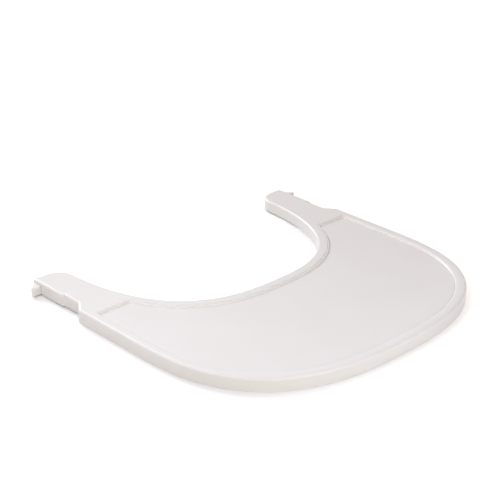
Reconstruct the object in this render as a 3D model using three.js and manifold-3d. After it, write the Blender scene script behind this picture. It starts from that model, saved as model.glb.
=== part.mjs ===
// Click-on tray for a wooden high chair: a moulded tray with two arms that pass inside the chair's
// uprights, and in each arm a sprung latch lever whose nose catches behind the upright.
// Millimetres, +Z up, front edge towards -Y, arm tips towards +Y, standing on z = 0.

import * as THREE from 'three';
import { mergeVertices } from 'three/addons/utils/BufferGeometryUtils.js';
import Module from 'manifold-3d';

// ---- Tray plan ----
const TRAY_WIDTH = 440; // across the straight sides
const TRAY_DEPTH = 414; // front edge to arm tips
const DECK_DEPTH = 211; // front edge to the bottom of the belly cut-out, on the centre line
const BOW_DEPTH = 201; // front edge to where the sides run straight
const BOW_POWER = 2.65; // fullness of the front bow, 2 is an ellipse
const CUT_POWER = 2.7; // fullness of the belly cut-out
const CUT_OVERRUN = 24; // the cut-out's widest line lies this far behind the arm tips
const ARM_LENGTH = 89.5; // arm tip to the root of the shoulder
const ARM_WIDTH = 40; // arm root to the cut-out's widest line
const SHOULDER_STEP = 11.4; // the arms stand in from the sides by this much
const SHOULDER_RUN = 16; // slope of the shoulder, along the tray
const SHOULDER_RADIUS = 4;
const HOUSING_LENGTH = 62; // latch housing at the end of each arm
const HOUSING_PROUD = 2.4; // it stands out of the arm's side by this much
const TIP_RADIUS = 25; // inner corner of the arm tip
const TIP_CORNER = 3.8; // outer corner of the arm tip

// ---- Tray section ----
const TRAY_HEIGHT = 17;
const WALL = 2.5; // skirt
const PLATE = 2.5; // top plate
const EDGE_RADIUS = 3.5; // rounding along the top edge
const ARM_LIFT = 1.5; // the arm walls end this far above the skirt
const RECESS_DEPTH = 2.8;
const RECESS_FOOT = 0.4; // the recess's side stands upright this high, then rolls over into the rim
const RECESS_ROLL = 6; // plan width of that roll
const RIM_WIDTH = 13.7; // outer edge to the recess's foot
const BELLY_RIM_WIDTH = 15.6; // the same at the belly cut-out
const RECESS_END = 128; // arm tip to the recess's foot at its end
const RECESS_RADIUS = 3;

// ---- Ribs under the deck ----
const RIB = 1.4;
const RIB_BOTTOM = 8; // ribs stop this far above the skirt's foot
const RIB_CENTRE = 60; // centre of the rib pattern, behind the bottom of the cut-out
const RIB_ANGLE = 15; // degrees between the radial ribs
const RING_RADII = [110, 170, 230];
const BAY_LENGTH = 140; // arm tip to the bulkhead in front of the latch bay
const BULKHEAD_BOTTOM = 3; // the bulkhead and the lever's stop reach down to here

// ---- Latch ----
const CLEARANCE = 0.3;
const RUNNING_GAP = 0.4; // above and below a turning lever
const HUB_RADIUS = 6.5;
const HUB_SIDE_GAP = 0.6; // hub to the arm's wall
const HUB_PROUD = 0.3; // the hub's faces stand out of the lever's arms
const PIVOT_FROM_TIP = 76;
const PIVOT_RADIUS = 3.6; // moulded post that the lever turns on
const LEVER_THICKNESS = 7.4;
const LEVER_WALL = 1.6;
const LEVER_CELLS = 4; // pockets in the lever's rear arm
const REAR_ARM_WIDTH = 11;
const NOSE_REACH = 12.6; // nose beyond the housing's side
const NOSE_LAND = 2.5; // flat at the nose's tip
const NOSE_BOTTOM = 2;
const CATCH_FROM_TIP = 17; // arm tip to the face that catches behind the upright
const NECK_RELIEF = 0.4; // the neck in the window stands back from the catching face by this much
const NOSE_SWING = 1.8; // room behind the nose as it swings in
const STOP_LENGTH = 6.7; // shoulder that rests inside the housing wall
const PADDLE_LENGTH = 30;
const PADDLE_THICKNESS = 3.4;
const PADDLE_HOLLOW = 1.4; // depth of the finger hollow
const PADDLE_FROM_PIVOT = 27; // pivot to the near end of the paddle
const PADDLE_OFFSET = 2.2; // the paddle's middle lies this far outwards of the pivot
const PADDLE_BOTTOM = 1.2;
const STOP_RIB = 3; // rib on the skirt that ends the paddle's stroke

// ---- Return spring ----
const SPRING_FROM_PIVOT = 29;
const SPRING_RADIUS = 2.9; // to the middle of the wire
const WIRE_RADIUS = 0.35;
const SPRING_LENGTH = 18;
const SPRING_TURNS = 8;
const STEPS_PER_TURN = 8;
const SPIGOT_RADIUS = 1.8;
const SPIGOT_LENGTH = 3;
const SEAT_WIDTH = 9;

// ---- Arm cover and its fasteners ----
const COVER_LENGTH = 94; // arm tip to the cover's front edge
const COVER_THICKNESS = 1.8;
const COVER_INSET = 1.5; // the cover lies this far inside the arm walls' lower edge
const NOTCH_WIDTH = 17.5; // room in the cover for the nose as it swings in
const BOSS_RADIUS = 3;
const BOSS_FROM_WALL = 7.5; // cover screws stand this far from the cut-out edge
const COVER_SCREWS = [20, 62, 88]; // distances of the cover screws from the arm tip
const SHANK_RADIUS = 1.3;
const SCREW_LENGTH = 8;
const HEAD_RADIUS = 2.7;
const HEAD_HEIGHT = 1.6;
const WASHER_RADIUS = 4.5;
const WASHER_THICKNESS = 0.6;

// ---- Places that follow from them ----
const SIDE_X = TRAY_WIDTH / 2;
const FRONT_Y = -TRAY_DEPTH / 2;
const TIP_Y = TRAY_DEPTH / 2;
const ARM_X = SIDE_X - SHOULDER_STEP;
const HOUSING_X = ARM_X + HOUSING_PROUD;
const SHOULDER_Y = TIP_Y - ARM_LENGTH;
const CUT_HALF_WIDTH = ARM_X - ARM_WIDTH;
const CUT_CENTRE_Y = TIP_Y + CUT_OVERRUN;
const CUT_DEPTH = CUT_CENTRE_Y - (FRONT_Y + DECK_DEPTH);
const PLATE_UNDERSIDE = TRAY_HEIGHT - PLATE;
const COVER_BOTTOM = ARM_LIFT + COVER_INSET;
const COVER_TOP = COVER_BOTTOM + COVER_THICKNESS;
const LEVER_BOTTOM = COVER_TOP + RUNNING_GAP;
const LEVER_TOP = LEVER_BOTTOM + LEVER_THICKNESS;
const PIVOT_X = ARM_X - WALL - HUB_SIDE_GAP - HUB_RADIUS;
const PIVOT_Y = TIP_Y - PIVOT_FROM_TIP;
const NOSE_TIP_X = HOUSING_X + NOSE_REACH;
const NOSE_FRONT_Y = TIP_Y - CATCH_FROM_TIP;
const NOSE_REAR_Y = TIP_Y - WALL - NOSE_SWING;
const STOP_X = HOUSING_X - WALL - CLEARANCE;
const REAR_ARM_X = PIVOT_X - REAR_ARM_WIDTH / 2;
const SPRING_Y = PIVOT_Y + SPRING_FROM_PIVOT;
const SPRING_Z = (LEVER_BOTTOM + LEVER_TOP) / 2;
const SPRING_END_X = REAR_ARM_X - CLEARANCE;
const SEAT_X = SPRING_END_X - SPRING_LENGTH - CLEARANCE;
const PADDLE_X = PIVOT_X + PADDLE_OFFSET;
const FAR = 2 * TRAY_DEPTH; // cutting tools reach this far past the tray

const whitePlastic = new THREE.MeshStandardMaterial({ color: 0xefedec, roughness: 0.55, metalness: 0 });
const steel = new THREE.MeshStandardMaterial({ color: 0xb9bcc0, roughness: 0.35, metalness: 1 });

const wasm = await Module();
wasm.setup();

// ---- Solids ----

/** Turns a closed three.js geometry into a solid that can be joined and cut. */
function toSolid(geometry) {
  const bare = geometry.clone();
  bare.deleteAttribute('normal');
  bare.deleteAttribute('uv');
  const merged = mergeVertices(bare, 1e-4);
  const vertProperties = Float32Array.from(merged.getAttribute('position').array);
  const triVerts = Uint32Array.from(merged.getIndex().array);
  return new wasm.Manifold(new wasm.Mesh({ numProp: 3, vertProperties, triVerts }));
}

function toGeometry(solid) {
  const { vertProperties, triVerts } = solid.getMesh();
  const geometry = new THREE.BufferGeometry();
  geometry.setAttribute('position', new THREE.BufferAttribute(vertProperties, 3));
  geometry.setIndex(new THREE.BufferAttribute(triVerts, 1));
  geometry.computeVertexNormals();
  return geometry;
}

/** The same geometry on the other side of the centre plane, with its faces still pointing out. */
function mirrored(geometry) {
  const copy = geometry.clone().scale(-1, 1, 1);
  const index = copy.getIndex().array;
  for (let i = 0; i < index.length; i += 3) {
    [index[i], index[i + 1]] = [index[i + 1], index[i]];
  }
  copy.computeVertexNormals();
  return copy;
}

function prism(outline, bottom, top) {
  const shape = new THREE.Shape(roundCorners(outline));
  const geometry = new THREE.ExtrudeGeometry(shape, { depth: top - bottom, bevelEnabled: false });
  return toSolid(geometry.translate(0, 0, bottom));
}

function box(x0, x1, y0, y1, z0, z1) {
  const geometry = new THREE.BoxGeometry(x1 - x0, y1 - y0, z1 - z0);
  return toSolid(geometry.translate((x0 + x1) / 2, (y0 + y1) / 2, (z0 + z1) / 2));
}

function post(x, y, radius, bottom, top, sides = 24) {
  const geometry = new THREE.CylinderGeometry(radius, radius, top - bottom, sides);
  return toSolid(geometry.rotateX(Math.PI / 2).translate(x, y, (bottom + top) / 2));
}

/** A round peg along X, from x0 to x1. */
function peg(x0, x1, y, z, radius, sides = 16) {
  const geometry = new THREE.CylinderGeometry(radius, radius, x1 - x0, sides);
  return toSolid(geometry.rotateZ(Math.PI / 2).translate((x0 + x1) / 2, y, z));
}

function union(solids) {
  return solids.reduce((sum, solid) => sum.add(solid));
}

// ---- Outlines: closed or open lists of corners, each with its own rounding ----

const corner = (x, y, radius = 0) => ({ x, y, radius });

/** Direction of travel from one corner to the next. */
function heading(from, to) {
  return new THREE.Vector2(to.x - from.x, to.y - from.y).normalize();
}

/** Moves an outline sideways: to the left of its direction of travel, which is inwards on these. */
function offsetPath(path, distance, closed = true) {
  const last = path.length - 1;
  return path.map((here, i) => {
    const before = path[i === 0 ? (closed ? last : 0) : i - 1];
    const after = path[i === last ? (closed ? 0 : last) : i + 1];
    const arriving = before === here ? heading(here, after) : heading(before, here);
    const leaving = after === here ? arriving : heading(here, after);
    const share = distance / (1 + arriving.dot(leaving));
    const x = here.x - share * (arriving.y + leaving.y);
    const y = here.y + share * (arriving.x + leaving.x);
    const turnsLeft = arriving.cross(leaving) > 0;
    const radius = here.radius + (turnsLeft ? -distance : distance);
    return corner(x, y, here.radius ? Math.max(radius, CLEARANCE) : 0);
  });
}

/** Points of a closed outline, with an arc at each corner that has a radius. */
function roundCorners(outline) {
  const points = [];
  outline.forEach((here, i) => {
    const before = outline[(i + outline.length - 1) % outline.length];
    const after = outline[(i + 1) % outline.length];
    const arriving = heading(before, here);
    const leaving = heading(here, after);
    const turn = Math.atan2(arriving.cross(leaving), arriving.dot(leaving));
    if (!here.radius || Math.abs(turn) < 0.01) {
      points.push(new THREE.Vector2(here.x, here.y));
      return;
    }
    const side = Math.sign(turn);
    const setback = here.radius * Math.tan(Math.abs(turn) / 2);
    const startX = here.x - arriving.x * setback;
    const startY = here.y - arriving.y * setback;
    const reach = side * here.radius;
    const centre = new THREE.Vector2(startX - reach * arriving.y, startY + reach * arriving.x);
    const steps = Math.max(2, Math.ceil(Math.abs(turn) / THREE.MathUtils.degToRad(15)));
    for (let step = 0; step <= steps; step += 1) {
      points.push(new THREE.Vector2(startX, startY).rotateAround(centre, (turn * step) / steps));
    }
  });
  return points;
}

/** Half of a superellipse, from -halfWidth down to -depth and up to +halfWidth. */
function arch(halfWidth, depth, power, centreY, steps) {
  const path = [];
  for (let step = 0; step <= 2 * steps; step += 1) {
    const angle = (Math.PI * step) / (2 * steps);
    const across = Math.cos(angle);
    const x = -halfWidth * Math.sign(across) * Math.abs(across) ** (2 / power);
    path.push(corner(step === steps ? 0 : x, centreY - depth * Math.sin(angle) ** (2 / power)));
  }
  return path;
}

const bow = () => arch(SIDE_X, BOW_DEPTH, BOW_POWER, FRONT_Y + BOW_DEPTH, 32);
const belly = () => arch(CUT_HALF_WIDTH, CUT_DEPTH, CUT_POWER, CUT_CENTRE_Y, 36).reverse();

/** Half width of the belly cut-out at a given place along the tray. */
function cutX(y) {
  const along = (CUT_CENTRE_Y - y) / CUT_DEPTH;
  return CUT_HALF_WIDTH * (1 - along ** CUT_POWER) ** (1 / CUT_POWER);
}

/** Closes two open paths into one outline through corners that stand on both sides of the tray. */
function symmetric(front, rightCorners, rear) {
  const leftCorners = rightCorners.map(({ x, y, radius }) => corner(-x, y, radius)).reverse();
  return [...front, ...rightCorners, ...rear, ...leftCorners];
}

function trayOutline() {
  const tipCorners = [
    corner(SIDE_X, SHOULDER_Y - SHOULDER_RUN, SHOULDER_RADIUS),
    corner(ARM_X, SHOULDER_Y, SHOULDER_RADIUS),
    corner(ARM_X, TIP_Y - HOUSING_LENGTH),
    corner(HOUSING_X, TIP_Y - HOUSING_LENGTH),
    corner(HOUSING_X, TIP_Y, TIP_CORNER),
    corner(cutX(TIP_Y), TIP_Y, TIP_RADIUS),
  ];
  const straightEnd = TIP_Y - 1.1 * TIP_RADIUS;
  return symmetric(bow(), tipCorners, belly().filter(({ y }) => y < straightEnd));
}

function recessOutline() {
  const endY = TIP_Y - RECESS_END;
  const rear = offsetPath(belly(), BELLY_RIM_WIDTH, false);
  const kept = rear.filter(({ y }) => y < endY - RECESS_RADIUS);
  const firstKept = rear.indexOf(kept[0]);
  const above = rear[firstKept - 1];
  const share = (endY - above.y) / (kept[0].y - above.y);
  const endX = above.x + share * (kept[0].x - above.x);
  const endCorners = [
    corner(SIDE_X - RIM_WIDTH, endY, RECESS_RADIUS),
    corner(endX, endY, RECESS_RADIUS),
  ];
  return symmetric(offsetPath(bow(), RIM_WIDTH, false), endCorners, kept);
}

// ---- Tray body ----

/** A form that reaches from below the floor up to a height, with its top edge rounded. */
function roundedForm(outline, height, radius, segments) {
  const geometry = new THREE.ExtrudeGeometry(new THREE.Shape(roundCorners(outline)), {
    depth: height,
    bevelThickness: radius,
    bevelSize: radius,
    bevelOffset: -radius,
    bevelSegments: segments,
  });
  return toSolid(geometry.translate(0, 0, -radius));
}

function outerForm() {
  const form = roundedForm(trayOutline(), TRAY_HEIGHT, EDGE_RADIUS, 4);
  const underArms = box(-FAR, FAR, SHOULDER_Y, FAR, -FAR, ARM_LIFT);
  return form.subtract(box(-FAR, FAR, -FAR, FAR, -FAR, 0)).subtract(underArms);
}

/** What lies above the deck and the roll round it; grown and lowered, it also shapes the underside. */
function recessForm(segments, grown = 0) {
  const rim = offsetPath(recessOutline(), -grown - RECESS_ROLL);
  const rollHeight = RECESS_DEPTH - RECESS_FOOT;
  const geometry = new THREE.ExtrudeGeometry(new THREE.Shape(roundCorners(rim)), {
    depth: RECESS_DEPTH,
    bevelThickness: rollHeight,
    bevelSize: -RECESS_ROLL,
    bevelSegments: segments,
  });
  const top = TRAY_HEIGHT - grown;
  const roll = toSolid(geometry.translate(0, 0, top - rollHeight - RECESS_DEPTH));
  const belowDeck = box(-FAR, FAR, -FAR, FAR, -FAR, top - RECESS_DEPTH);
  return roll.subtract(belowDeck).add(prism(rim, top, FAR));
}

/** Radial ribs and rings under the deck, in front of the latch bays. */
function deckRibs() {
  const centreY = FRONT_Y + DECK_DEPTH + RIB_CENTRE;
  const ribs = [];
  for (let angle = 180 + RIB_ANGLE; angle < 360; angle += RIB_ANGLE) {
    const geometry = new THREE.BoxGeometry(FAR, RIB, TRAY_HEIGHT).translate(FAR / 2, 0, 0);
    geometry.rotateZ(THREE.MathUtils.degToRad(angle));
    ribs.push(toSolid(geometry.translate(0, centreY, RIB_BOTTOM + TRAY_HEIGHT / 2)));
  }
  for (const radius of RING_RADII) {
    const outer = post(0, centreY, radius + RIB / 2, RIB_BOTTOM, TRAY_HEIGHT, 60);
    ribs.push(outer.subtract(post(0, centreY, radius - RIB / 2, 0, FAR, 60)));
  }
  const bays = box(-FAR, FAR, TIP_Y - BAY_LENGTH, FAR, -FAR, FAR);
  return union(ribs).subtract(bays);
}

/** Everything moulded inside one latch bay: bulkhead, pivot post, spring seat, bosses and stop. */
function bayFittings() {
  const bayY = TIP_Y - BAY_LENGTH;
  const top = TRAY_HEIGHT - PLATE / 2; // well into the plate
  const stopX = SIDE_X - WALL - STOP_RIB;
  const stopY = PIVOT_Y - PADDLE_FROM_PIVOT - 0.8 * PADDLE_LENGTH;
  const wallX = cutX(SPRING_Y);
  return union([
    box(cutX(bayY), SIDE_X, bayY - RIB, bayY, BULKHEAD_BOTTOM, top),
    box(stopX, SIDE_X, stopY - RIB, stopY + RIB, BULKHEAD_BOTTOM, top),
    post(PIVOT_X, PIVOT_Y, PIVOT_RADIUS, COVER_TOP + CLEARANCE, top),
    post(PIVOT_X, PIVOT_Y, HUB_RADIUS - 1, LEVER_TOP + RUNNING_GAP, top),
    box(wallX, SEAT_X, SPRING_Y - SEAT_WIDTH / 2, SPRING_Y + SEAT_WIDTH / 2, LEVER_BOTTOM, top),
    peg(SEAT_X - 1, SEAT_X + SPIGOT_LENGTH, SPRING_Y, SPRING_Z, SPIGOT_RADIUS),
    ...coverScrewPlaces().map(([x, y]) => post(x, y, BOSS_RADIUS, COVER_TOP + CLEARANCE, top)),
  ]);
}

function coverScrewPlaces() {
  return COVER_SCREWS.map((fromTip) => {
    const y = TIP_Y - fromTip;
    return [cutX(y) + BOSS_FROM_WALL, y];
  });
}

/** Holes for the screws, and the window that the nose passes through. */
function bayCuts() {
  const holes = [...coverScrewPlaces(), [PIVOT_X, PIVOT_Y]].map(([x, y]) => {
    return post(x, y, SHANK_RADIUS + CLEARANCE, 0, COVER_BOTTOM + SCREW_LENGTH + CLEARANCE, 12);
  });
  const windowTop = LEVER_TOP + RUNNING_GAP;
  const window = box(STOP_X, FAR, NOSE_FRONT_Y - CLEARANCE, TIP_Y - WALL, -FAR, windowTop);
  return union([window, ...holes]);
}

function bothSides(solid) {
  return solid.add(toSolid(mirrored(toGeometry(solid))));
}

function trayBody() {
  const inside = roundedForm(offsetPath(trayOutline(), WALL), PLATE_UNDERSIDE, EDGE_RADIUS - WALL, 1);
  const hollow = inside
    .subtract(recessForm(2, PLATE))
    .subtract(deckRibs())
    .subtract(bothSides(bayFittings()));
  return outerForm().subtract(recessForm(3)).subtract(hollow).subtract(bothSides(bayCuts()));
}

// ---- Latch lever, at the tray's right side ----

function rearArm() {
  const outerX = REAR_ARM_X + REAR_ARM_WIDTH;
  const stopY = NOSE_FRONT_Y - CLEARANCE - STOP_LENGTH;
  const headX = PIVOT_X + 1;
  const outline = [
    corner(REAR_ARM_X, PIVOT_Y - HUB_PROUD),
    corner(outerX, PIVOT_Y - HUB_PROUD),
    corner(outerX, stopY, 1.5),
    corner(STOP_X, stopY, 0.8),
    corner(STOP_X, NOSE_REAR_Y, 1),
    corner(headX, NOSE_REAR_Y, 1.5),
    corner(REAR_ARM_X, stopY, 2),
  ];
  const arm = prism(outline, LEVER_BOTTOM + HUB_PROUD, LEVER_TOP - HUB_PROUD);
  const pocket = prism(offsetPath(outline, LEVER_WALL), 0, LEVER_TOP - LEVER_WALL);
  const firstRib = PIVOT_Y + HUB_RADIUS - LEVER_WALL;
  const pitch = (NOSE_REAR_Y - firstRib) / LEVER_CELLS;
  const ribs = [];
  for (let cell = 0; cell < LEVER_CELLS; cell += 1) {
    const y = firstRib + cell * pitch;
    ribs.push(box(0, FAR, y, y + LEVER_WALL, 0, FAR));
  }
  const hub = post(PIVOT_X, PIVOT_Y, HUB_RADIUS, 0, FAR);
  return arm.subtract(pocket.subtract(union([hub, ...ribs])));
}

function nose() {
  const neckX = STOP_X - LEVER_WALL;
  const catchX = HOUSING_X + CLEARANCE;
  return prism([
    corner(neckX, NOSE_FRONT_Y + NECK_RELIEF),
    corner(catchX, NOSE_FRONT_Y + NECK_RELIEF),
    corner(catchX, NOSE_FRONT_Y),
    corner(NOSE_TIP_X, NOSE_FRONT_Y, 0.8),
    corner(NOSE_TIP_X, NOSE_FRONT_Y + NOSE_LAND, 1.5),
    corner(HOUSING_X, NOSE_REAR_Y),
    corner(neckX, NOSE_REAR_Y),
  ], NOSE_BOTTOM, LEVER_TOP);
}

/** Finger paddle under the deck's edge, hollowed on the side that the fingers pull. */
function paddle() {
  const nearY = PIVOT_Y - PADDLE_FROM_PIVOT;
  const farY = nearY - PADDLE_LENGTH;
  const backX = PADDLE_X + PADDLE_THICKNESS / 2;
  const faceX = backX - PADDLE_THICKNESS;
  const top = PLATE_UNDERSIDE - RECESS_DEPTH - RUNNING_GAP;
  const shape = new THREE.Shape();
  shape.moveTo(backX, farY);
  shape.lineTo(backX, nearY + HUB_RADIUS);
  shape.lineTo(faceX, nearY + HUB_RADIUS);
  shape.lineTo(faceX - PADDLE_HOLLOW, nearY);
  shape.quadraticCurveTo(faceX + 2 * PADDLE_HOLLOW, (nearY + farY) / 2, faceX - PADDLE_HOLLOW, farY);
  const geometry = new THREE.ExtrudeGeometry(shape, {
    depth: top - PADDLE_BOTTOM,
    bevelEnabled: false,
    curveSegments: 10,
  });
  return toSolid(geometry.translate(0, 0, PADDLE_BOTTOM));
}

function frontArm() {
  const nearY = PIVOT_Y - PADDLE_FROM_PIVOT;
  const halfWidth = PADDLE_THICKNESS;
  return prism([
    corner(PIVOT_X - halfWidth, PIVOT_Y),
    corner(PADDLE_X - PADDLE_THICKNESS / 2, nearY),
    corner(PADDLE_X + PADDLE_THICKNESS / 2, nearY),
    corner(PIVOT_X + halfWidth + 1, PIVOT_Y),
  ], LEVER_BOTTOM + LEVER_WALL, LEVER_TOP - LEVER_WALL);
}

function latchLever() {
  const hub = post(PIVOT_X, PIVOT_Y, HUB_RADIUS, LEVER_BOTTOM, LEVER_TOP, 32);
  const spigot = peg(REAR_ARM_X - SPIGOT_LENGTH, REAR_ARM_X + 1, SPRING_Y, SPRING_Z, SPIGOT_RADIUS);
  const bore = post(PIVOT_X, PIVOT_Y, PIVOT_RADIUS + CLEARANCE, -FAR, FAR);
  return union([hub, rearArm(), nose(), frontArm(), paddle(), spigot]).subtract(bore);
}

// ---- Arm cover, at the tray's right side ----

function armCover() {
  const plate = prism(offsetPath(trayOutline(), WALL + CLEARANCE), COVER_BOTTOM, COVER_TOP);
  const reach = box(0, FAR, TIP_Y - COVER_LENGTH, FAR, -FAR, FAR);
  const notchX = STOP_X - NOTCH_WIDTH;
  const notch = box(notchX, FAR, NOSE_FRONT_Y - 2 * CLEARANCE, FAR, -FAR, FAR);
  const holes = [...coverScrewPlaces(), [PIVOT_X, PIVOT_Y]].map(([x, y]) => {
    return post(x, y, SHANK_RADIUS + CLEARANCE, -FAR, FAR, 12);
  });
  return plate.intersect(reach).subtract(notch).subtract(union(holes));
}

// ---- Spring and fasteners ----

/** A compression spring along X, with a closed turn at each end. */
class Coil extends THREE.Curve {
  getPoint(t, target = new THREE.Vector3()) {
    const turns = t * SPRING_TURNS;
    const closed = 2 * WIRE_RADIUS * 1.15;
    const open = (SPRING_LENGTH - 2 * WIRE_RADIUS - 2 * closed) / (SPRING_TURNS - 2);
    const active = THREE.MathUtils.clamp(turns - 1, 0, SPRING_TURNS - 2);
    const x = WIRE_RADIUS + closed * (turns - active) + open * active;
    const angle = 2 * Math.PI * turns;
    return target.set(x, SPRING_RADIUS * Math.cos(angle), SPRING_RADIUS * Math.sin(angle));
  }
}

function springGeometry() {
  const wire = new THREE.Shape().absarc(0, 0, WIRE_RADIUS, 0, 2 * Math.PI);
  return new THREE.ExtrudeGeometry(wire, {
    steps: SPRING_TURNS * STEPS_PER_TURN,
    curveSegments: 3,
    extrudePath: new Coil(),
  });
}

/** A cross-recessed pan-head screw that points up, with the seat of its head at z = 0. */
function screwGeometry(length) {
  const profile = [
    [0, -HEAD_HEIGHT],
    [0.6 * HEAD_RADIUS, -HEAD_HEIGHT],
    [0.95 * HEAD_RADIUS, -0.6 * HEAD_HEIGHT],
    [HEAD_RADIUS, 0],
    [SHANK_RADIUS, 0],
    [SHANK_RADIUS, length - SHANK_RADIUS],
    [0.4 * SHANK_RADIUS, length],
    [0, length],
  ];
  const points = profile.map(([radius, z]) => new THREE.Vector2(radius, z));
  const body = toSolid(new THREE.LatheGeometry(points, 12).rotateX(Math.PI / 2));
  const slot = 0.25 * HEAD_RADIUS;
  const arm = 0.55 * HEAD_RADIUS;
  const floor = -0.4 * HEAD_HEIGHT;
  const along = box(-slot / 2, slot / 2, -arm, arm, -FAR, floor);
  const across = box(-arm, arm, -slot / 2, slot / 2, -FAR, floor);
  return toGeometry(body.subtract(along).subtract(across));
}

function washerGeometry() {
  const inner = SHANK_RADIUS + CLEARANCE;
  const points = [
    [inner, 0],
    [WASHER_RADIUS, 0],
    [WASHER_RADIUS, WASHER_THICKNESS],
    [inner, WASHER_THICKNESS],
    [inner, 0],
  ].map(([radius, z]) => new THREE.Vector2(radius, z));
  return new THREE.LatheGeometry(points, 20).rotateX(Math.PI / 2);
}

// ---- Assembly ----

const tray = new THREE.Group();

function place(name, geometry, material, x = 0, y = 0, z = 0) {
  const mesh = new THREE.Mesh(geometry, material);
  mesh.name = name;
  mesh.position.set(x, y, z);
  tray.add(mesh);
  return mesh;
}

place('tray_body', toGeometry(trayBody()), whitePlastic);

const lever = toGeometry(latchLever());
const cover = toGeometry(armCover());
const spring = springGeometry();
const coverScrew = screwGeometry(SCREW_LENGTH);
const washer = washerGeometry();
const headSeat = COVER_BOTTOM - CLEARANCE;
const pivotHeadSeat = headSeat - WASHER_THICKNESS - CLEARANCE;

for (const [side, sign] of [['right', 1], ['left', -1]]) {
  const sided = (geometry) => (sign > 0 ? geometry : mirrored(geometry));
  place(`${side}_latch_lever`, sided(lever), whitePlastic);
  place(`${side}_arm_cover`, sided(cover), whitePlastic);
  const springX = sign * (SPRING_END_X - SPRING_LENGTH);
  const coil = place(`${side}_latch_spring`, spring, steel, springX, SPRING_Y, SPRING_Z);
  coil.rotation.z = sign > 0 ? 0 : Math.PI;
  place(`${side}_pivot_washer`, washer, steel, sign * PIVOT_X, PIVOT_Y, headSeat - WASHER_THICKNESS);
  place(`${side}_pivot_screw`, coverScrew, steel, sign * PIVOT_X, PIVOT_Y, pivotHeadSeat);
  coverScrewPlaces().forEach(([x, y], i) => {
    place(`${side}_cover_screw_${i + 1}`, coverScrew, steel, sign * x, y, headSeat);
  });
}

export default tray;
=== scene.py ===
"""Looks of a click-on high chair tray: softened mouldings, wound springs, turned screws and a studio."""

from __future__ import annotations

import logging
import math
from collections.abc import Callable
from dataclasses import dataclass
from enum import Enum

import bmesh
import bpy
from mathutils import Matrix, Vector


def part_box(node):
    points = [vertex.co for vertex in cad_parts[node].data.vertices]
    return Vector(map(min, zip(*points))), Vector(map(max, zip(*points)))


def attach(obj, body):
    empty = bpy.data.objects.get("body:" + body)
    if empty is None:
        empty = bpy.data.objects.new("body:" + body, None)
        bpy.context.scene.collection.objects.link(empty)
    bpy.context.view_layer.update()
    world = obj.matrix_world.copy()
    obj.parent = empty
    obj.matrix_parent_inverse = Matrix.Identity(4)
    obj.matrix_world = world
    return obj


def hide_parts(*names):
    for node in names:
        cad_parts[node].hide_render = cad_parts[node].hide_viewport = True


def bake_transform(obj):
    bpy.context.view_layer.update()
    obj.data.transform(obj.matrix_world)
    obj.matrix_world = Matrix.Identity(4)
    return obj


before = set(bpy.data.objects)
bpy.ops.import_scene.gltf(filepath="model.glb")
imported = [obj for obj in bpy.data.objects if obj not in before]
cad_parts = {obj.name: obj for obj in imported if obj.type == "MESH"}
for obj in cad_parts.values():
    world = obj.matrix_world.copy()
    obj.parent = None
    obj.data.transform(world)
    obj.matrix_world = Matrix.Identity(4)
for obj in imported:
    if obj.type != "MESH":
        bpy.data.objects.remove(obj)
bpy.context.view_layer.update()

LOG = logging.getLogger("tray")
MM = 0.001
MERGE_DISTANCE = 1e-6
LEVEL_SLACK = 0.02 * MM  # vertices this close to a height count as lying on it
FLAT_ANGLE = math.radians(0.075)  # faces that turn less than this are one flat face
SHARP_ANGLE = math.radians(28)  # edges that turn more than this are corners to be rounded
SMOOTH_ANGLE = math.radians(38)  # edges that turn less than this are shaded smooth
ROOM = 2.5  # edges beside a rounding are longer than its width times this
NORMAL_WEIGHT = 90
ROUND_PROFILE = 0.5
FULL_TURN = 2 * math.pi
MIX_SHARE, MIX_FIRST, MIX_SECOND, MIX_RESULT = 0, 6, 7, 2  # a mix node's sockets for colours


# ---- Mesh tools ----


def merged_mesh(node: str) -> bmesh.types.BMesh:
    """Copies a node's surface, joins its loose triangles and makes its flat faces whole.

    Args:
        node: name of the CAD node.

    Returns:
        A closed mesh at the node's place.
    """
    mesh = bmesh.new()
    mesh.from_mesh(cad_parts[node].data)
    bmesh.ops.remove_doubles(mesh, verts=mesh.verts[:], dist=MERGE_DISTANCE)
    bmesh.ops.dissolve_limit(
        mesh, angle_limit=FLAT_ANGLE, verts=mesh.verts[:], edges=mesh.edges[:], use_dissolve_boundaries=False
    )
    return mesh


def round_edges(
    mesh: bmesh.types.BMesh, chosen: Callable[[bmesh.types.BMEdge], bool], width: float, segments: int
) -> None:
    """Rounds the chosen edges of a mesh.

    Args:
        mesh: the mesh, changed in place.
        chosen: says whether an edge is rounded.
        width: distance from the edge to where the rounding starts.
        segments: number of steps across the rounding.
    """
    bmesh.ops.bevel(
        mesh,
        geom=[edge for edge in mesh.edges if chosen(edge)],
        offset=width,
        offset_type="OFFSET",
        affect="EDGES",
        segments=segments,
        profile=ROUND_PROFILE,
        material=-1,
        clamp_overlap=False,
    )


def at_height(edge: bmesh.types.BMEdge, height: float) -> bool:
    """Whether an edge lies level at a height."""
    return all(abs(vert.co.z - height) < LEVEL_SLACK for vert in edge.verts)


def lower_slope(edge: bmesh.types.BMEdge) -> float:
    """How far up the steeper one of the faces beside an edge points, 1 being level."""
    return min(face.normal.z for face in edge.link_faces)


def roomy_edge(width: float) -> Callable[[bmesh.types.BMEdge], bool]:
    """Picks the sharp outward edges that have room on all sides to be rounded.

    Args:
        width: the rounding's width.

    Returns:
        The test for one edge.
    """

    def chosen(edge: bmesh.types.BMEdge) -> bool:
        near = [other for vert in edge.verts for other in vert.link_edges]
        sharp = [other for other in near if other.calc_face_angle(0.0) > SHARP_ANGLE]
        outward = all(other.is_convex for other in sharp)
        return edge in sharp and outward and all(other.calc_length() > ROOM * width for other in near)

    return chosen


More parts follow.
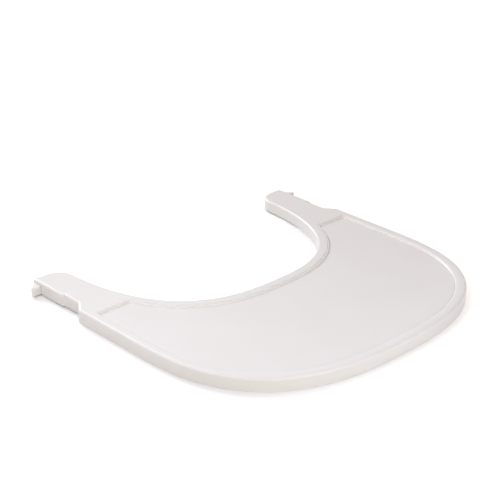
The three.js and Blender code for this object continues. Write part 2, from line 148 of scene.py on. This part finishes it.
def turned(points: list[Vector], closed: bool, steps: int) -> bmesh.types.BMesh:
    """Turns a profile a full turn about Z.

    Args:
        points: the profile's corners in order, in the plane y = 0.
        closed: whether the last corner joins the first; if not, both ends lie on the axis.
        steps: number of steps in the full turn.

    Returns:
        The closed mesh, its faces outwards.
    """
    mesh = bmesh.new()
    verts = [mesh.verts.new(point) for point in points]
    ends = verts[1:] + verts[:1] if closed else verts[1:]
    edges = [mesh.edges.new(pair) for pair in zip(verts, ends)]
    bmesh.ops.spin(
        mesh,
        geom=verts + edges,
        cent=(0, 0, 0),
        axis=(0, 0, 1),
        angle=FULL_TURN,
        steps=steps,
        use_merge=True,
    )
    bmesh.ops.remove_doubles(mesh, verts=mesh.verts[:], dist=MERGE_DISTANCE)
    bmesh.ops.recalc_face_normals(mesh, faces=mesh.faces[:])
    return mesh


def cap_ends(mesh: bmesh.types.BMesh) -> None:
    """Closes a wound mesh's open ends and turns its faces outwards."""
    bmesh.ops.holes_fill(mesh, edges=[edge for edge in mesh.edges if edge.is_boundary], sides=0)
    bmesh.ops.recalc_face_normals(mesh, faces=mesh.faces[:])


def combine(mesh: bmesh.types.BMesh, other: bmesh.types.BMesh, operation: str) -> None:
    """Joins a closed mesh with another one, or cuts the other one out of it.

    Args:
        mesh: the mesh that is changed.
        other: the mesh that is joined or taken away, which is freed.
        operation: "UNION" or "DIFFERENCE".
    """
    parts = []
    for source in (mesh, other):
        data = bpy.data.meshes.new("cut_stock")
        source.to_mesh(data)
        parts.append(bpy.data.objects.new("cut_stock", data))
        bpy.context.scene.collection.objects.link(parts[-1])
    stock, tool = parts
    cut = stock.modifiers.new("cut", "BOOLEAN")
    cut.operation = operation
    cut.solver = "EXACT"
    cut.use_self = True
    cut.object = tool
    bpy.context.view_layer.update()
    result = stock.evaluated_get(bpy.context.evaluated_depsgraph_get()).to_mesh()
    mesh.clear()
    mesh.from_mesh(result)
    other.free()
    for part in parts:
        data = part.data
        bpy.data.objects.remove(part)
        bpy.data.meshes.remove(data)


def finished_piece(mesh: bmesh.types.BMesh, name: str, material: bpy.types.Material) -> bpy.types.Object:
    """Makes an object of a mesh, with smooth faces and sharp edges where it turns fast.

    Args:
        mesh: the mesh, which is freed.
        name: the piece's name.
        material: its finish.

    Returns:
        The object, at the origin.
    """
    for face in mesh.faces:
        face.smooth = True
    for edge in mesh.edges:
        edge.smooth = edge.is_manifold and edge.calc_face_angle(0.0) < SMOOTH_ANGLE
    data = bpy.data.meshes.new(name)
    mesh.to_mesh(data)
    mesh.free()
    piece = bpy.data.objects.new(name, data)
    bpy.context.scene.collection.objects.link(piece)
    data.materials.append(material)
    weighted = piece.modifiers.new("weighted_normals", "WEIGHTED_NORMAL")
    weighted.keep_sharp = True
    weighted.weight = NORMAL_WEIGHT
    return piece


def report(piece: bpy.types.Object) -> None:
    """Logs a piece's name and number of faces."""
    LOG.info("%s: %d faces", piece.name, len(piece.data.polygons))


# ---- Node tools ----


def stretched(
    nodes: bpy.types.Nodes,
    links: bpy.types.NodeLinks,
    value: bpy.types.NodeSocket,
    known: tuple[float, float],
    wanted: tuple[float, float],
) -> bpy.types.NodeSocket:
    """Maps a value from one range to another, held at the second range's ends.

    Args:
        nodes: the tree's nodes.
        links: the tree's links.
        value: where the value comes from.
        known: the range it comes in.
        wanted: the range it is mapped to.

    Returns:
        The mapped value.
    """
    made = nodes.new("ShaderNodeMapRange")
    for name, number in zip(("From Min", "From Max", "To Min", "To Max"), (*known, *wanted)):
        made.inputs[name].default_value = number
    links.new(value, made.inputs["Value"])
    return made.outputs["Result"]


def worked_out(
    nodes: bpy.types.Nodes,
    links: bpy.types.NodeLinks,
    operation: str,
    first: bpy.types.NodeSocket,
    second: bpy.types.NodeSocket,
) -> bpy.types.NodeSocket:
    """Works out one number from two.

    Args:
        nodes: the tree's nodes.
        links: the tree's links.
        operation: what is done with the two, such as "ADD".
        first: the first value.
        second: the second value.

    Returns:
        The result.
    """
    made = nodes.new("ShaderNodeMath")
    made.operation = operation
    links.new(first, made.inputs[0])
    links.new(second, made.inputs[1])
    return made.outputs["Value"]


def seen_rays(nodes: bpy.types.Nodes, links: bpy.types.NodeLinks) -> bpy.types.NodeSocket:
    """Adds a value of 1 for camera, glossy and transmission rays, and 0 for the rest.

    Args:
        nodes: the tree's nodes.
        links: the tree's links.

    Returns:
        The value.
    """
    path = nodes.new("ShaderNodeLightPath")
    seen = path.outputs["Is Camera Ray"]
    for kind in ("Is Glossy Ray", "Is Transmission Ray"):
        seen = worked_out(nodes, links, "MAXIMUM", seen, path.outputs[kind])
    return seen


# ---- Finishes ----


@dataclass(frozen=True)
class Finish:
    """A moulded or metal surface.

    The grain is the fine relief of the mould or the plating, which also spreads the roughness, and the
    mottle is a slow change of tone. Each takes effect over its range of the noise's values.
    """

    name: str
    light_tone: tuple[float, float, float]
    dark_tone: tuple[float, float, float]
    roughness: float
    roughness_spread: float
    metallic: float
    grain_size: float
    grain_depth: float
    mottle_size: float = 60 * MM
    mottle_detail: float = 3
    mottle_range: tuple[float, float] = (0.35, 0.65)
    grain_detail: float = 2
    grain_range: tuple[float, float] = (0.3, 0.7)

    def material(self) -> bpy.types.Material:
        """Builds the node material once and returns it."""
        known = bpy.data.materials.get(self.name)
        if known:
            return known
        made = bpy.data.materials.new(self.name)
        made.use_nodes = True
        nodes, links = made.node_tree.nodes, made.node_tree.links
        shader = nodes["Principled BSDF"]
        shader.inputs["Metallic"].default_value = self.metallic
        place = nodes.new("ShaderNodeTexCoord")
        mottle = self._noise(nodes, links, place, self.mottle_size, self.mottle_detail)
        tones = nodes.new("ShaderNodeValToRGB")
        stops = zip(tones.color_ramp.elements, self.mottle_range, (self.dark_tone, self.light_tone))
        for stop, position, tone in stops:
            stop.position = position
            stop.color = (*tone, 1)
        links.new(mottle, tones.inputs["Fac"])
        links.new(tones.outputs["Color"], shader.inputs["Base Color"])
        grain = self._noise(nodes, links, place, self.grain_size, self.grain_detail)
        limits = (self.roughness - self.roughness_spread, self.roughness + self.roughness_spread)
        links.new(stretched(nodes, links, grain, self.grain_range, limits), shader.inputs["Roughness"])
        bump = nodes.new("ShaderNodeBump")
        bump.inputs["Strength"].default_value = 1.0
        bump.inputs["Distance"].default_value = self.grain_depth
        links.new(grain, bump.inputs["Height"])
        links.new(bump.outputs["Normal"], shader.inputs["Normal"])
        return made

    @staticmethod
    def _noise(
        nodes: bpy.types.Nodes, links: bpy.types.NodeLinks, place: bpy.types.Node, size: float, detail: float
    ) -> bpy.types.NodeSocket:
        """Adds a noise of a given feature size on object coordinates.

        Args:
            nodes: the material's nodes.
            links: the material's links.
            place: the texture coordinate node.
            size: feature size in metres.
            detail: octaves of finer noise.

        Returns:
            The noise's value.
        """
        noise = nodes.new("ShaderNodeTexNoise")
        noise.inputs["Scale"].default_value = 1 / size
        noise.inputs["Detail"].default_value = detail
        links.new(place.outputs["Object"], noise.inputs["Vector"])
        return noise.outputs["Fac"]


TRAY_PLASTIC = Finish(
    name="satin_white_tray",
    light_tone=(0.86, 0.852, 0.845),
    dark_tone=(0.845, 0.836, 0.828),
    roughness=0.33,
    roughness_spread=0.04,
    metallic=0.0,
    grain_size=0.55 * MM,
    grain_depth=0.012 * MM,
)
LATCH_PLASTIC = Finish(
    name="smooth_white_latch",
    light_tone=(0.86, 0.85, 0.835),
    dark_tone=(0.845, 0.835, 0.82),
    roughness=0.34,
    roughness_spread=0.04,
    metallic=0.0,
    grain_size=0.8 * MM,
    grain_depth=0.006 * MM,
)
COVER_PLASTIC = Finish(
    name="grained_white_cover",
    light_tone=(0.84, 0.835, 0.825),
    dark_tone=(0.82, 0.815, 0.80),
    roughness=0.5,
    roughness_spread=0.05,
    metallic=0.0,
    grain_size=0.45 * MM,
    grain_depth=0.02 * MM,
)
SPRING_STEEL = Finish(
    name="drawn_spring_wire",
    light_tone=(0.62, 0.63, 0.65),
    dark_tone=(0.5, 0.51, 0.53),
    roughness=0.3,
    roughness_spread=0.08,
    metallic=1.0,
    grain_size=0.25 * MM,
    grain_depth=0.004 * MM,
    mottle_size=4 * MM,
)
SCREW_STEEL = Finish(
    name="zinc_plated_steel",
    light_tone=(0.66, 0.67, 0.69),
    dark_tone=(0.55, 0.56, 0.57),
    roughness=0.34,
    roughness_spread=0.08,
    metallic=1.0,
    grain_size=0.3 * MM,
    grain_depth=0.006 * MM,
    mottle_size=3 * MM,
)


class Side(Enum):
    """The tray's two sides, each with the sign of its X."""

    RIGHT = ("right", 1)
    LEFT = ("left", -1)

    @property
    def word(self) -> str:
        """The side's word in names."""
        return self.value[0]

    @property
    def sign(self) -> int:
        """The sign of X on this side."""
        return self.value[1]


# ---- The object's own pieces ----


@dataclass
class TrayMoulding:
    """The tray's one moulding: rim, recessed deck, arms, housings, and the ribs and posts beneath.

    The recess's side rolls over into the rim in facets, whose edges run round the recess as level rings:
    top, brow, side and foot, at ring_turns degrees of the roll. The lip is a fine step at the brow of the
    rear side, which faces away from belly_centre, the middle of the belly's bend on the Y axis. The seam
    is a fine groove round the deck. Faces whose normal rises above level_normal are level, and those
    beside the rim's top rise above rim_normal, unlike the outer rounding.
    """

    rim_height: float = 17 * MM
    roll_drop: float = 2.4 * MM
    ring_turns: tuple[float, ...] = (0, 30, 60, 90)
    top_rounding: float = 1.3 * MM
    brow_rounding: float = 1.2 * MM
    side_rounding: float = 0.6 * MM
    foot_rounding: float = 0.16 * MM
    ring_segments: int = 4
    lip_width: float = 0.3 * MM
    lip_drop: float = 0.6 * MM
    belly_centre: float = 130 * MM
    deck_height: float = 14.2 * MM
    seam_width: float = 0.7 * MM
    seam_depth: float = 0.4 * MM
    rib_bottom: float = 8 * MM
    edge_rounding: float = 0.3 * MM
    edge_segments: int = 2
    level_normal: float = 0.999
    rim_normal: float = 0.99

    def build(self) -> None:
        """Builds the moulding and puts it in the node's place."""
        mesh = merged_mesh("tray_body")
        self._round_rings(mesh)
        roomy = roomy_edge(self.edge_rounding)
        round_edges(
            mesh,
            lambda edge: roomy(edge) and not at_height(edge, self.rib_bottom),
            self.edge_rounding,
            self.edge_segments,
        )
        self._seam(mesh)
        piece = finished_piece(mesh, "tray_moulding", TRAY_PLASTIC.material())
        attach(piece, "tray")
        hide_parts("tray_body")
        report(piece)

    def _round_rings(self, mesh: bmesh.types.BMesh) -> None:
        """Rounds the rings on the recess's side and steps the brow of its rear side.

        The top comes before the lip, which tilts the facet beside it, so that the top's ring would pass
        for the outer rounding. The lip comes before the brow's rounding, so that the two don't cross.

        Args:
            mesh: the moulding, changed in place.
        """
        top, brow, side, foot = (
            self.rim_height - self.roll_drop * (1 - math.cos(math.radians(turn))) for turn in self.ring_turns
        )
        round_edges(mesh, self._recess_edge(top), self.top_rounding, self.ring_segments)
        round_edges(mesh, self._recess_edge(side), self.side_rounding, self.ring_segments)
        round_edges(mesh, self._recess_edge(foot), self.foot_rounding, self.ring_segments)
        self._lip(mesh, brow)
        on_brow = self._recess_edge(brow)
        round_edges(
            mesh,
            lambda edge: on_brow(edge) and not self._faces_front(edge),
            self.brow_rounding,
            self.ring_segments,
        )

    def _lip(self, mesh: bmesh.types.BMesh, height: float) -> None:
        """Steps the recess's rear side down a little, so that a fine line runs along it.

        Args:
            mesh: the moulding, changed in place.
            height: where the step starts.
        """
        on_ring = self._recess_edge(height)
        made = bmesh.ops.bevel(
            mesh,
            geom=[edge for edge in mesh.edges if on_ring(edge) and self._faces_front(edge)],
            offset=self.lip_width / 2,
            offset_type="OFFSET",
            affect="EDGES",
            segments=1,
            profile=ROUND_PROFILE,
            material=-1,
        )
        low = {vert for face in made["faces"] for vert in face.verts if vert.co.z < height - LEVEL_SLACK}
        bmesh.ops.translate(mesh, verts=list(low), vec=(0, 0, -self.lip_drop))

    def _faces_front(self, edge: bmesh.types.BMEdge) -> bool:
        """Whether an edge lies on the recess's rear side, which turns away from the belly's bend."""
        lower = min(edge.link_faces, key=lambda face: face.normal.z)
        return lower.normal.dot(edge.verts[0].co - Vector((0, self.belly_centre, self.deck_height))) > 0

    def _seam(self, mesh: bmesh.types.BMesh) -> None:
        """Sinks the fine groove where the deck meets the foot of the recess's side.

        Args:
            mesh: the moulding, changed in place.
        """
        level = [face for face in mesh.faces if face.normal.z > self.level_normal]
        at_deck = [face for face in level if at_height(face.edges[0], self.deck_height)]
        deck = max(at_deck, key=lambda face: face.calc_area())
        for depth in (-self.seam_depth, self.seam_depth):
            bmesh.ops.inset_region(
                mesh,
                faces=[deck],
                thickness=self.seam_width / 2,
                depth=depth,
                use_even_offset=True,
                use_boundary=True,
            )

    def _recess_edge(self, height: float) -> Callable[[bmesh.types.BMEdge], bool]:
        """Picks the edges that run round the recess at a height, on its rolled-over side.

        Args:
            height: how high they run.

        Returns:
            The test for one edge.
        """

        def chosen(edge: bmesh.types.BMEdge) -> bool:
            outer_rounding = at_height(edge, self.rim_height) and lower_slope(edge) < self.rim_normal
            return at_height(edge, height) and not outer_rounding

        return chosen


@dataclass
class LatchSet:
    """One side's latch: lever, return spring, pivot washer and pivot screw.

    The closed coils' pitch, and the length at each end that doesn't bend, are in wire radii.
    """

    side: Side
    lever_rounding: float = 0.3 * MM
    lever_segments: int = 3
    wire_radius: float = 0.35 * MM
    wire_sides: int = 10
    coil_radius: float = 2.9 * MM
    coils: int = 8
    coil_steps: int = 36
    closed_pitch: float = 2.3
    stiff_end: float = 3

    def build(self) -> None:
        """Builds the four pieces of this side's latch."""
        self._lever()
        self._spring()
        Washer(f"{self.side.word}_pivot_washer").build()
        Screw(f"{self.side.word}_pivot_screw").build()

    def _lever(self) -> None:
        """Builds the lever with its nose, hub, pockets and finger paddle, its edges rounded."""
        node = f"{self.side.word}_latch_lever"
        mesh = merged_mesh(node)
        round_edges(mesh, roomy_edge(self.lever_rounding), self.lever_rounding, self.lever_segments)
        piece = finished_piece(mesh, f"{self.side.word}_lever", LATCH_PLASTIC.material())
        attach(piece, f"{self.side.word}_latch")
        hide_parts(node)
        report(piece)

    def _spring(self) -> None:
        """Winds the return spring, closed at both ends, between its seat and the lever."""
        node = f"{self.side.word}_latch_spring"
        low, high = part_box(node)
        mesh = self._wound(low, high)
        piece = finished_piece(mesh, f"{self.side.word}_spring", SPRING_STEEL.material())
        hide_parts(node)
        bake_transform(piece)
        report(piece)

    def _wound(self, low: Vector, high: Vector) -> bmesh.types.BMesh:
        """Winds the spring's wire along X, with one closed coil at each end.

        Args:
            low: the lowest corner of the spring's place.
            high: the highest corner of the spring's place.

        Returns:
            The closed mesh.
        """
        middle = (low + high) / 2
        closed = self.closed_pitch * self.wire_radius
        length = high.x - low.x - 2 * self.wire_radius
        open_coils = self.coils - 2
        opened = (length - 2 * closed) / open_coils
        mesh = bmesh.new()
        bmesh.ops.create_circle(mesh, cap_ends=False, radius=self.wire_radius, segments=self.wire_sides)
        start = Vector((low.x + self.wire_radius, middle.y + self.coil_radius, middle.z))
        bmesh.ops.translate(mesh, verts=mesh.verts[:], vec=start)
        last = mesh.edges[:] + mesh.verts[:]
        for turns, pitch in ((1, closed), (open_coils, opened), (1, closed)):
            steps = self.coil_steps * turns
            last = bmesh.ops.spin(
                mesh,
                geom=last,
                cent=middle,
                axis=(1, 0, 0),
                dvec=(pitch * turns / steps, 0, 0),
                angle=FULL_TURN * turns,
                steps=steps,
                use_merge=False,
            )["geom_last"]
        cap_ends(mesh)
        return mesh


@dataclass
class Screw:
    """A cross-recessed pan-head screw with a cut thread, which points up.

    The crown's, the recess span's and the seat edge's first share are of the head's radius, the rim's and
    the seat edge's second share of its height, and the tip's and the thread end's of the core's radius.
    """

    node: str
    head_radius: float = 2.7 * MM
    head_height: float = 1.6 * MM
    crown_share: float = 0.55
    rim_share: float = 0.25
    dome_steps: int = 6
    seat_edge_shares: tuple[float, float] = (0.97, 0.05)
    core_radius: float = 1.0 * MM
    tip_shares: tuple[float, float] = (0.35, 0.1)
    steps: int = 36
    recess_width: float = 0.5 * MM
    recess_depth: float = 1.0 * MM
    recess_overrun: float = 0.3 * MM
    recess_span_share: float = 1.1
    recess_taper: tuple[float, float] = (0.35, 0.7)
    thread_radius: float = 1.3 * MM
    thread_sunk: float = 0.07 * MM
    thread_width: float = 0.56 * MM
    thread_start: float = 0.8 * MM
    thread_end_share: float = 1.3
    thread_steps: int = 24
    pitch: float = 1.0 * MM

    def build(self) -> None:
        """Turns the screw, cuts its recess and puts it in the node's place."""
        low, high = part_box(self.node)
        length = high.z - low.z - self.head_height
        mesh = self._head_and_core(length)
        self._cut_recess(mesh)
        self._thread(mesh, length)
        middle = (low + high) / 2
        bmesh.ops.translate(mesh, verts=mesh.verts[:], vec=(middle.x, middle.y, low.z + self.head_height))
        piece = finished_piece(mesh, f"{self.node}_turned", SCREW_STEEL.material())
        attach(piece, "tray")
        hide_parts(self.node)
        report(piece)

    def _head_and_core(self, length: float) -> bmesh.types.BMesh:
        """Turns head and core about Z, with the head's seat at z = 0.

        Args:
            length: from the seat to the tip.

        Returns:
            The closed mesh.
        """
        radius, height, core = self.head_radius, self.head_height, self.core_radius
        crown, rim = self.crown_share * radius, self.rim_share * height
        profile = [Vector((0, 0, -height))]
        for step in range(self.dome_steps + 1):
            angle = step / self.dome_steps * math.pi / 2
            out = crown + (radius - crown) * math.sin(angle)
            profile.append(Vector((out, 0, -rim - (height - rim) * math.cos(angle))))
        edge_out, edge_up = self.seat_edge_shares
        tip_out, tip_back = self.tip_shares
        profile += [
            Vector((radius, 0, -edge_up * height)),
            Vector((edge_out * radius, 0, 0)),
            Vector((core, 0, 0)),
            Vector((core, 0, length - core)),
            Vector((tip_out * core, 0, length - tip_back * core)),
            Vector((0, 0, length)),
        ]
        return turned(profile, False, self.steps)

    def _cut_recess(self, mesh: bmesh.types.BMesh) -> None:
        """Cuts a tapered cross into the head's crown.

        Args:
            mesh: the screw, changed in place.
        """
        cutter = bmesh.new()
        span = self.recess_span_share * self.head_radius
        size = (span, self.recess_width, self.recess_depth + self.recess_overrun)
        for turn in (0, math.pi / 2):
            arm = bmesh.ops.create_cube(cutter, size=1)["verts"]
            bmesh.ops.scale(cutter, vec=size, verts=arm)
            for vert in arm:
                if vert.co.z > 0:
                    vert.co.x *= self.recess_taper[0]
                    vert.co.y *= self.recess_taper[1]
            bmesh.ops.rotate(cutter, cent=(0, 0, 0), matrix=Matrix.Rotation(turn, 3, "Z"), verts=arm)
        middle = (self.recess_depth - self.recess_overrun) / 2 - self.head_height
        bmesh.ops.translate(cutter, verts=cutter.verts[:], vec=(0, 0, middle))
        combine(mesh, cutter, "DIFFERENCE")

    def _thread(self, mesh: bmesh.types.BMesh, length: float) -> None:
        """Winds the thread's ridge round the core.

        Args:
            mesh: the screw, changed in place.
            length: from the seat to the tip.
        """
        root, start, half = self.core_radius - self.thread_sunk, self.thread_start, self.thread_width / 2
        points = ((root, start - half), (self.thread_radius, start), (root, start + half))
        ridge = bmesh.new()
        verts = [ridge.verts.new((radius, 0, height)) for radius, height in points]
        edges = [ridge.edges.new(pair) for pair in zip(verts, verts[1:] + verts[:1])]
        turns = (length - self.thread_end_share * self.core_radius - start) / self.pitch
        steps = round(turns * self.thread_steps)
        bmesh.ops.spin(
            ridge,
            geom=verts + edges,
            cent=(0, 0, 0),
            axis=(0, 0, 1),
            dvec=(0, 0, turns * self.pitch / steps),
            angle=FULL_TURN * turns,
            steps=steps,
            use_merge=False,
        )
        cap_ends(ridge)
        combine(mesh, ridge, "UNION")


@dataclass
class Washer:
    """A flat washer with broken edges."""

    node: str
    bore_radius: float = 1.6 * MM
    broken_edge: float = 0.12 * MM
    steps: int = 48

    def build(self) -> None:
        """Turns the washer and puts it in the node's place."""
        low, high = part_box(self.node)
        middle = (low + high) / 2
        outer, thickness = (high.x - low.x) / 2, high.z - low.z
        corners = (
            (self.bore_radius, 0),
            (outer - self.broken_edge, 0),
            (outer, self.broken_edge),
            (outer, thickness - self.broken_edge),
            (outer - self.broken_edge, thickness),
            (self.bore_radius, thickness),
        )
        mesh = turned([Vector((radius, 0, height)) for radius, height in corners], True, self.steps)
        bmesh.ops.translate(mesh, verts=mesh.verts[:], vec=(middle.x, middle.y, low.z))
        piece = finished_piece(mesh, f"{self.node}_turned", SCREW_STEEL.material())
        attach(piece, "tray")
        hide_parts(self.node)
        report(piece)


@dataclass
class ArmCoverSet:
    """One side's cover under the arm, with its three screws."""

    side: Side
    rounding: float = 0.4 * MM
    segments: int = 3
    screws: int = 3

    def build(self) -> None:
        """Builds the cover and its screws."""
        node = f"{self.side.word}_arm_cover"
        mesh = merged_mesh(node)
        round_edges(mesh, roomy_edge(self.rounding), self.rounding, self.segments)
        piece = finished_piece(mesh, f"{self.side.word}_cover", COVER_PLASTIC.material())
        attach(piece, "tray")
        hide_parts(node)
        report(piece)
        for number in range(1, self.screws + 1):
            Screw(f"{self.side.word}_cover_screw_{number}").build()


# ---- Studio ----


@dataclass(frozen=True)
class Lamp:
    """A round soft lamp that faces the middle of the tray.

    Azimuth runs from +X towards +Y, and a strength of 1 lights a white sheet that faces the lamp fully.
    """

    name: str
    azimuth: float
    elevation: float
    distance: float
    size: float
    strength: float
    tint: tuple[float, float, float]

    def build(self) -> None:
        """Hangs the lamp."""
        data = bpy.data.lights.new(self.name, "AREA")
        data.shape = "DISK"
        data.size = self.size
        data.energy = self.strength * (math.pi * self.distance) ** 2
        data.color = self.tint
        lamp = bpy.data.objects.new(self.name, data)
        turn, lift = math.radians(self.azimuth), math.radians(self.elevation)
        outwards = Vector((math.cos(turn) * math.cos(lift), math.sin(turn) * math.cos(lift), math.sin(lift)))
        lamp.location = outwards * self.distance
        lamp.rotation_euler = (-outwards).to_track_quat("-Z", "Y").to_euler()
        bpy.context.scene.collection.objects.link(lamp)


@dataclass
class Studio:
    """Pale floor, soft lamps, white surroundings and the camera.

    The floor gives off some light of its own, up to floor_lift, but less where the object stands within
    contact_reach, above all on the side of contact_azimuth, at contact_tilt from upright: a painted contact
    shadow beside the real one. Farther out, over far_range, it gives off up to far_lift more, since the
    lamps reach it less.
    """

    floor_size: float = 8.0
    floor_tone: float = 0.80
    floor_roughness: float = 0.9
    floor_lift: float = 0.62
    contact_reach: float = 28 * MM
    contact_samples: int = 16
    contact_range: tuple[float, float] = (0.36, 0.9)
    contact_azimuth: float = 30
    contact_tilt: float = 70
    far_range: tuple[float, float] = (0.45, 1.1)
    far_lift: float = 0.36
    ambient: float = 0.328
    ambient_tint: tuple[float, float, float] = (1.0, 0.76, 0.60)
    eye: tuple[float, float, float] = (-0.99387, -1.01326, 0.71819)
    aim: tuple[float, float, float] = (0.06385, 0.11145, 0.0)
    lens: float = 93.6
    sensor: float = 36
    clip: tuple[float, float] = (0.05, 50)
    lamps: tuple[Lamp, ...] = (
        Lamp("key_left", 180, 50, 0.8, 0.45, 0.36, (0.82, 0.88, 1.0)),
        Lamp("front_near", 270, 25, 0.8, 0.45, 0.28, (0.765, 0.845, 1.0)),
        Lamp("back", 90, 25, 2.2, 0.8, 0.42, (0.92, 0.975, 1.0)),
        Lamp("back_high", 84, 47, 2.2, 0.5, 0.15, (0.77, 0.87, 1.0)),
        Lamp("front_low", 240, 12, 2.2, 0.9, 0.152, (1.0, 0.93, 0.6)),
    )

    def build(self) -> None:
        """Builds the camera, the floor, the lamps and the world, in that order."""
        self._camera()
        self._floor()
        for lamp in self.lamps:
            lamp.build()
        self._world()
        bpy.context.scene.view_settings.view_transform = "Standard"

    def _camera(self) -> None:
        """Adds the camera and makes it the scene's."""
        data = bpy.data.cameras.new("camera")
        data.lens = self.lens
        data.sensor_width = self.sensor
        data.clip_start, data.clip_end = self.clip
        camera = bpy.data.objects.new("camera", data)
        camera.location = self.eye
        camera.rotation_euler = (Vector(self.aim) - Vector(self.eye)).to_track_quat("-Z", "Y").to_euler()
        bpy.context.scene.collection.objects.link(camera)
        bpy.context.scene.camera = camera

    def _floor(self) -> None:
        """Adds the pale floor, which keeps the tray's shadow and has a painted contact shadow besides."""
        mesh = bmesh.new()
        bmesh.ops.create_grid(mesh, x_segments=1, y_segments=1, size=self.floor_size / 2)
        data = bpy.data.meshes.new("floor")
        mesh.to_mesh(data)
        mesh.free()
        floor = bpy.data.objects.new("floor", data)
        bpy.context.scene.collection.objects.link(floor)
        data.materials.append(self._floor_material())

    def _floor_material(self) -> bpy.types.Material:
        """Builds the floor's matt surface, with the light that it gives off."""
        material = bpy.data.materials.new("pale_floor")
        material.use_nodes = True
        nodes, links = material.node_tree.nodes, material.node_tree.links
        shader = nodes["Principled BSDF"]
        shader.inputs["Base Color"].default_value = (self.floor_tone,) * 3 + (1,)
        shader.inputs["Roughness"].default_value = self.floor_roughness
        shader.inputs["Specular IOR Level"].default_value = 0.0
        shader.inputs["Emission Color"].default_value = (1, 1, 1, 1)
        # the floor's glow, dimmed beside the object into a painted contact shadow
        near = self._near_lift(nodes, links)
        far = self._far_lift(nodes, links)
        both = worked_out(nodes, links, "ADD", near, far)
        lift = worked_out(nodes, links, "MULTIPLY", seen_rays(nodes, links), both)
        links.new(lift, shader.inputs["Emission Strength"])
        return material

    def _near_lift(self, nodes: bpy.types.Nodes, links: bpy.types.NodeLinks) -> bpy.types.NodeSocket:
        """Adds the light given off near the object, less where it stands close, which paints a contact
        shadow there.

        Args:
            nodes: the material's nodes.
            links: the material's links.

        Returns:
            The strength of that light.
        """
        # ambient occlusion dims the floor's glow next to the object: this is painted contact shadow
        near = nodes.new("ShaderNodeAmbientOcclusion")
        near.inputs["Distance"].default_value = self.contact_reach
        near.samples = self.contact_samples
        turn, tilt = math.radians(self.contact_azimuth), math.radians(self.contact_tilt)
        towards = nodes.new("ShaderNodeCombineXYZ")
        towards.inputs["X"].default_value = math.cos(turn) * math.sin(tilt)
        towards.inputs["Y"].default_value = math.sin(turn) * math.sin(tilt)
        towards.inputs["Z"].default_value = math.cos(tilt)
        links.new(towards.outputs["Vector"], near.inputs["Normal"])
        return stretched(nodes, links, near.outputs["AO"], self.contact_range, (0, self.floor_lift))

    def _far_lift(self, nodes: bpy.types.Nodes, links: bpy.types.NodeLinks) -> bpy.types.NodeSocket:
        """Adds the light that the far floor gives off on top.

        Args:
            nodes: the material's nodes.
            links: the material's links.

        Returns:
            The strength of that light.
        """
        place = nodes.new("ShaderNodeTexCoord")
        distance = nodes.new("ShaderNodeVectorMath")
        distance.operation = "LENGTH"
        links.new(place.outputs["Object"], distance.inputs[0])
        return stretched(nodes, links, distance.outputs["Value"], self.far_range, (0, self.far_lift))

    def _world(self) -> None:
        """Makes the surroundings white to the eye, and to the object a dim warm light."""
        world = bpy.data.worlds.new("surroundings")
        world.use_nodes = True
        nodes, links = world.node_tree.nodes, world.node_tree.links
        tone = nodes.new("ShaderNodeMix")
        tone.data_type = "RGBA"
        tone.inputs[MIX_FIRST].default_value = (*(self.ambient * part for part in self.ambient_tint), 1)
        tone.inputs[MIX_SECOND].default_value = (1, 1, 1, 1)
        links.new(seen_rays(nodes, links), tone.inputs[MIX_SHARE])
        links.new(tone.outputs[MIX_RESULT], nodes["Background"].inputs["Color"])
        bpy.context.scene.world = world


def main() -> None:
    """Builds the studio and every piece in order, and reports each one."""
    logging.basicConfig(level=logging.INFO, format="%(message)s")
    Studio().build()
    TrayMoulding().build()
    for side in Side:
        LatchSet(side).build()
        ArmCoverSet(side).build()


if __name__ == "__main__":
    main()
